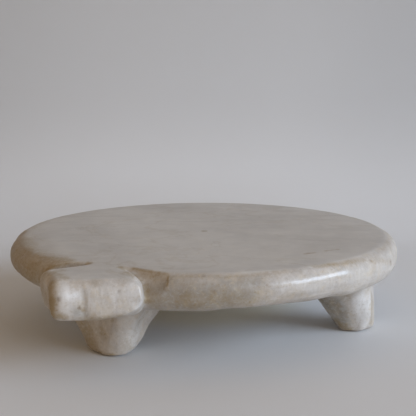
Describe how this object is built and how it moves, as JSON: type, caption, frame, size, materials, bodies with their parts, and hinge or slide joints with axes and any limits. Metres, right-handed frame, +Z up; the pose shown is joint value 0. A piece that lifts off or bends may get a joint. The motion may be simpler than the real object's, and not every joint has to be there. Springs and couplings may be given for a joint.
{
  "type": "chakla rolling board",
  "caption": "Round pale stone board for rolling out flatbread dough, with a bullnosed rim, flared stone feet and a square lug for a handle.",
  "frame": {"origin": "on the standing surface, under the middle of the board's bounding box", "axes": "+Z up, -Y towards the handle lug"},
  "size_m": [0.24, 0.269, 0.0565],
  "materials": {
    "stone": "satin",
    "putty": "matte"
  },
  "bodies": {
    "root": {"rolling_slab": "stone", "handle_lug": "stone", "front_foot": "stone", "right_foot": "stone", "rear_foot": "stone", "handle_bedding": "putty", "front_foot_bedding": "putty", "right_foot_bedding": "putty", "rear_foot_bedding": "putty"}
  },
  "joints": []
}
